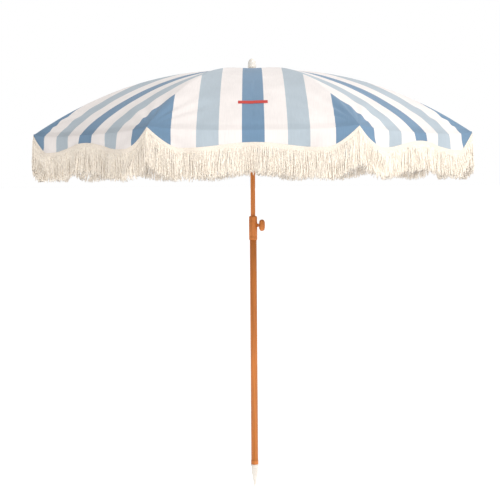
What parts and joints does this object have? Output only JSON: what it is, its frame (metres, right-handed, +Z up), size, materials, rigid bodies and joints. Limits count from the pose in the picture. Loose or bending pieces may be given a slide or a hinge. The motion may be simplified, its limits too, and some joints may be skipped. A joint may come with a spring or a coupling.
{
  "type": "beach umbrella",
  "caption": "Striped beach umbrella with a fringed valance, folding ribs, a sliding runner and a telescopic pole that ends in a ground spike.",
  "frame": {"origin": "the tip of the ground spike, on the pole's axis, at the bottom centre of the part", "axes": "+Z up the pole, -Y the front panel, +X the side with the clamp knob"},
  "size_m": [1.8566, 1.8566, 1.993],
  "materials": {
    "canopy_cloth": "plain woven cotton, striped blue and warm white",
    "fringe_cotton": "cream twisted cotton",
    "pole": "satin wood-look coating, orange tan",
    "steel": "satin zinc plated",
    "white_plastic": "satin",
    "spike": "translucent white, glossy"
  },
  "bodies": {
    "lower_pole": {"lower_pole_tube": "pole", "foot_ring": "pole", "ground_spike": "spike", "collar": "pole", "collar_bush": "white_plastic"},
    "clamp": {"knob": "pole", "knob_stud": "steel"},
    "upper_pole": {"upper_pole_tube": "pole", "slide_plug": "white_plastic", "top_hub": "white_plastic", "hub_wire": "steel", "crown_cap": "white_plastic", "finial": "spike"},
    "runner": {"runner": "white_plastic", "runner_grip": "white_plastic"},
    "rib_1": {"rib_1": "steel"},
    "stretcher_1": {"stretcher_1": "steel"},
    "gore_1": {"gore_1": "canopy_cloth"},
    "valance_1": {"valance_1": "canopy_cloth", "fringe_1": "fringe_cotton"},
    "rib_2": {"rib_2": "steel"},
    "stretcher_2": {"stretcher_2": "steel"},
    "gore_2": {"gore_2": "canopy_cloth"},
    "valance_2": {"valance_2": "canopy_cloth", "fringe_2": "fringe_cotton"},
    "rib_3": {"rib_3": "steel"},
    "stretcher_3": {"stretcher_3": "steel"},
    "gore_3": {"gore_3": "canopy_cloth"},
    "valance_3": {"valance_3": "canopy_cloth", "fringe_3": "fringe_cotton"},
    "rib_4": {"rib_4": "steel"},
    "stretcher_4": {"stretcher_4": "steel"},
    "gore_4": {"gore_4": "canopy_cloth"},
    "valance_4": {"valance_4": "canopy_cloth", "fringe_4": "fringe_cotton"},
    "rib_5": {"rib_5": "steel"},
    "stretcher_5": {"stretcher_5": "steel"},
    "gore_5": {"gore_5": "canopy_cloth"},
    "valance_5": {"valance_5": "canopy_cloth", "fringe_5": "fringe_cotton"},
    "rib_6": {"rib_6": "steel"},
    "stretcher_6": {"stretcher_6": "steel"},
    "gore_6": {"gore_6": "canopy_cloth"},
    "valance_6": {"valance_6": "canopy_cloth", "fringe_6": "fringe_cotton"},
    "rib_7": {"rib_7": "steel"},
    "stretcher_7": {"stretcher_7": "steel"},
    "gore_7": {"gore_7": "canopy_cloth"},
    "valance_7": {"valance_7": "canopy_cloth", "fringe_7": "fringe_cotton"},
    "rib_8": {"rib_8": "steel"},
    "stretcher_8": {"stretcher_8": "steel"},
    "gore_8": {"gore_8": "canopy_cloth"},
    "valance_8": {"valance_8": "canopy_cloth", "fringe_8": "fringe_cotton"}
  },
  "joints": [
    {"name": "clamp_turn", "type": "hinge", "parent": "lower_pole", "child": "clamp", "pos_m": [0.042, 0, 1.217], "axis": [1, 0, 0], "range_deg": [0, 360]},
    {"name": "pole_slide", "type": "slide", "parent": "lower_pole", "child": "upper_pole", "axis": [0, 0, 1], "range_m": [0, 0.25]},
    {"name": "runner_slide", "type": "slide", "parent": "upper_pole", "child": "runner", "axis": [0, 0, -1], "range_m": [0, 0.4326], "deforming": ["gore_1", "valance_1", "fringe_1", "gore_2", "valance_2", "fringe_2", "gore_3", "valance_3", "fringe_3", "gore_4", "valance_4", "fringe_4", "gore_5", "valance_5", "fringe_5", "gore_6", "valance_6", "fringe_6", "gore_7", "valance_7", "fringe_7", "gore_8", "valance_8", "fringe_8"]},
    {"name": "rib_1_hinge", "type": "hinge", "parent": "upper_pole", "child": "rib_1", "pos_m": [-0.01148, -0.02772, 1.9306], "axis": [0.9239, -0.3827, 0], "range_deg": [0, 68.05]},
    {"name": "stretcher_1_hinge", "type": "hinge", "parent": "rib_1", "child": "stretcher_1", "pos_m": [-0.12629, -0.30488, 1.89697], "axis": [0.9239, -0.3827, 0], "range_deg": [-116.58, 0]},
    {"name": "gore_1_fold", "type": "hinge", "parent": "upper_pole", "child": "gore_1", "pos_m": [0, -0.02772, 1.9306], "axis": [1, 0, 0], "range_deg": [0, 66.45]},
    {"name": "valance_1_fold", "type": "hinge", "parent": "gore_1", "child": "valance_1", "pos_m": [0, -0.92388, 1.624], "axis": [1, 0, 0], "range_deg": [-66.45, 0]},
    {"name": "rib_2_hinge", "type": "hinge", "parent": "upper_pole", "child": "rib_2", "pos_m": [0.01148, -0.02772, 1.9306], "axis": [0.9239, 0.3827, 0], "range_deg": [0, 68.05]},
    {"name": "stretcher_2_hinge", "type": "hinge", "parent": "rib_2", "child": "stretcher_2", "pos_m": [0.12629, -0.30488, 1.89697], "axis": [0.9239, 0.3827, 0], "range_deg": [-116.58, 0]},
    {"name": "gore_2_fold", "type": "hinge", "parent": "upper_pole", "child": "gore_2", "pos_m": [0.0196, -0.0196, 1.9306], "axis": [0.7071, 0.7071, 0], "range_deg": [0, 66.45]},
    {"name": "valance_2_fold", "type": "hinge", "parent": "gore_2", "child": "valance_2", "pos_m": [0.65328, -0.65328, 1.624], "axis": [0.7071, 0.7071, 0], "range_deg": [-66.45, 0]},
    {"name": "rib_3_hinge", "type": "hinge", "parent": "upper_pole", "child": "rib_3", "pos_m": [0.02772, -0.01148, 1.9306], "axis": [0.3827, 0.9239, 0], "range_deg": [0, 68.05]},
    {"name": "stretcher_3_hinge", "type": "hinge", "parent": "rib_3", "child": "stretcher_3", "pos_m": [0.30488, -0.12629, 1.89697], "axis": [0.3827, 0.9239, 0], "range_deg": [-116.58, 0]},
    {"name": "gore_3_fold", "type": "hinge", "parent": "upper_pole", "child": "gore_3", "pos_m": [0.02772, 0, 1.9306], "axis": [0, 1, 0], "range_deg": [0, 66.45]},
    {"name": "valance_3_fold", "type": "hinge", "parent": "gore_3", "child": "valance_3", "pos_m": [0.92388, 0, 1.624], "axis": [0, 1, 0], "range_deg": [-66.45, 0]},
    {"name": "rib_4_hinge", "type": "hinge", "parent": "upper_pole", "child": "rib_4", "pos_m": [0.02772, 0.01148, 1.9306], "axis": [-0.3827, 0.9239, 0], "range_deg": [0, 68.05]},
    {"name": "stretcher_4_hinge", "type": "hinge", "parent": "rib_4", "child": "stretcher_4", "pos_m": [0.30488, 0.12629, 1.89697], "axis": [-0.3827, 0.9239, 0], "range_deg": [-116.58, 0]},
    {"name": "gore_4_fold", "type": "hinge", "parent": "upper_pole", "child": "gore_4", "pos_m": [0.0196, 0.0196, 1.9306], "axis": [-0.7071, 0.7071, 0], "range_deg": [0, 66.45]},
    {"name": "valance_4_fold", "type": "hinge", "parent": "gore_4", "child": "valance_4", "pos_m": [0.65328, 0.65328, 1.624], "axis": [-0.7071, 0.7071, 0], "range_deg": [-66.45, 0]},
    {"name": "rib_5_hinge", "type": "hinge", "parent": "upper_pole", "child": "rib_5", "pos_m": [0.01148, 0.02772, 1.9306], "axis": [-0.9239, 0.3827, 0], "range_deg": [0, 68.05]},
    {"name": "stretcher_5_hinge", "type": "hinge", "parent": "rib_5", "child": "stretcher_5", "pos_m": [0.12629, 0.30488, 1.89697], "axis": [-0.9239, 0.3827, 0], "range_deg": [-116.58, 0]},
    {"name": "gore_5_fold", "type": "hinge", "parent": "upper_pole", "child": "gore_5", "pos_m": [0, 0.02772, 1.9306], "axis": [-1, 0, 0], "range_deg": [0, 66.45]},
    {"name": "valance_5_fold", "type": "hinge", "parent": "gore_5", "child": "valance_5", "pos_m": [0, 0.92388, 1.624], "axis": [-1, 0, 0], "range_deg": [-66.45, 0]},
    {"name": "rib_6_hinge", "type": "hinge", "parent": "upper_pole", "child": "rib_6", "pos_m": [-0.01148, 0.02772, 1.9306], "axis": [-0.9239, -0.3827, 0], "range_deg": [0, 68.05]},
    {"name": "stretcher_6_hinge", "type": "hinge", "parent": "rib_6", "child": "stretcher_6", "pos_m": [-0.12629, 0.30488, 1.89697], "axis": [-0.9239, -0.3827, 0], "range_deg": [-116.58, 0]},
    {"name": "gore_6_fold", "type": "hinge", "parent": "upper_pole", "child": "gore_6", "pos_m": [-0.0196, 0.0196, 1.9306], "axis": [-0.7071, -0.7071, 0], "range_deg": [0, 66.45]},
    {"name": "valance_6_fold", "type": "hinge", "parent": "gore_6", "child": "valance_6", "pos_m": [-0.65328, 0.65328, 1.624], "axis": [-0.7071, -0.7071, 0], "range_deg": [-66.45, 0]},
    {"name": "rib_7_hinge", "type": "hinge", "parent": "upper_pole", "child": "rib_7", "pos_m": [-0.02772, 0.01148, 1.9306], "axis": [-0.3827, -0.9239, 0], "range_deg": [0, 68.05]},
    {"name": "stretcher_7_hinge", "type": "hinge", "parent": "rib_7", "child": "stretcher_7", "pos_m": [-0.30488, 0.12629, 1.89697], "axis": [-0.3827, -0.9239, 0], "range_deg": [-116.58, 0]},
    {"name": "gore_7_fold", "type": "hinge", "parent": "upper_pole", "child": "gore_7", "pos_m": [-0.02772, 0, 1.9306], "axis": [0, -1, 0], "range_deg": [0, 66.45]},
    {"name": "valance_7_fold", "type": "hinge", "parent": "gore_7", "child": "valance_7", "pos_m": [-0.92388, 0, 1.624], "axis": [0, -1, 0], "range_deg": [-66.45, 0]},
    {"name": "rib_8_hinge", "type": "hinge", "parent": "upper_pole", "child": "rib_8", "pos_m": [-0.02772, -0.01148, 1.9306], "axis": [0.3827, -0.9239, 0], "range_deg": [0, 68.05]},
    {"name": "stretcher_8_hinge", "type": "hinge", "parent": "rib_8", "child": "stretcher_8", "pos_m": [-0.30488, -0.12629, 1.89697], "axis": [0.3827, -0.9239, 0], "range_deg": [-116.58, 0]},
    {"name": "gore_8_fold", "type": "hinge", "parent": "upper_pole", "child": "gore_8", "pos_m": [-0.0196, -0.0196, 1.9306], "axis": [0.7071, -0.7071, 0], "range_deg": [0, 66.45]},
    {"name": "valance_8_fold", "type": "hinge", "parent": "gore_8", "child": "valance_8", "pos_m": [-0.65328, -0.65328, 1.624], "axis": [0.7071, -0.7071, 0], "range_deg": [-66.45, 0]}
  ],
  "couplings": [
    {"joint": "rib_1_hinge", "follows": "runner_slide", "rad_per_m": 2.7435},
    {"joint": "stretcher_1_hinge", "follows": "runner_slide", "rad_per_m": -4.7014},
    {"joint": "gore_1_fold", "follows": "runner_slide", "rad_per_m": 2.6789},
    {"joint": "valance_1_fold", "follows": "runner_slide", "rad_per_m": -2.6789},
    {"joint": "rib_2_hinge", "follows": "runner_slide", "rad_per_m": 2.7435},
    {"joint": "stretcher_2_hinge", "follows": "runner_slide", "rad_per_m": -4.7014},
    {"joint": "gore_2_fold", "follows": "runner_slide", "rad_per_m": 2.6789},
    {"joint": "valance_2_fold", "follows": "runner_slide", "rad_per_m": -2.6789},
    {"joint": "rib_3_hinge", "follows": "runner_slide", "rad_per_m": 2.7435},
    {"joint": "stretcher_3_hinge", "follows": "runner_slide", "rad_per_m": -4.7014},
    {"joint": "gore_3_fold", "follows": "runner_slide", "rad_per_m": 2.6789},
    {"joint": "valance_3_fold", "follows": "runner_slide", "rad_per_m": -2.6789},
    {"joint": "rib_4_hinge", "follows": "runner_slide", "rad_per_m": 2.7435},
    {"joint": "stretcher_4_hinge", "follows": "runner_slide", "rad_per_m": -4.7014},
    {"joint": "gore_4_fold", "follows": "runner_slide", "rad_per_m": 2.6789},
    {"joint": "valance_4_fold", "follows": "runner_slide", "rad_per_m": -2.6789},
    {"joint": "rib_5_hinge", "follows": "runner_slide", "rad_per_m": 2.7435},
    {"joint": "stretcher_5_hinge", "follows": "runner_slide", "rad_per_m": -4.7014},
    {"joint": "gore_5_fold", "follows": "runner_slide", "rad_per_m": 2.6789},
    {"joint": "valance_5_fold", "follows": "runner_slide", "rad_per_m": -2.6789},
    {"joint": "rib_6_hinge", "follows": "runner_slide", "rad_per_m": 2.7435},
    {"joint": "stretcher_6_hinge", "follows": "runner_slide", "rad_per_m": -4.7014},
    {"joint": "gore_6_fold", "follows": "runner_slide", "rad_per_m": 2.6789},
    {"joint": "valance_6_fold", "follows": "runner_slide", "rad_per_m": -2.6789},
    {"joint": "rib_7_hinge", "follows": "runner_slide", "rad_per_m": 2.7435},
    {"joint": "stretcher_7_hinge", "follows": "runner_slide", "rad_per_m": -4.7014},
    {"joint": "gore_7_fold", "follows": "runner_slide", "rad_per_m": 2.6789},
    {"joint": "valance_7_fold", "follows": "runner_slide", "rad_per_m": -2.6789},
    {"joint": "rib_8_hinge", "follows": "runner_slide", "rad_per_m": 2.7435},
    {"joint": "stretcher_8_hinge", "follows": "runner_slide", "rad_per_m": -4.7014},
    {"joint": "gore_8_fold", "follows": "runner_slide", "rad_per_m": 2.6789},
    {"joint": "valance_8_fold", "follows": "runner_slide", "rad_per_m": -2.6789}
  ]
}
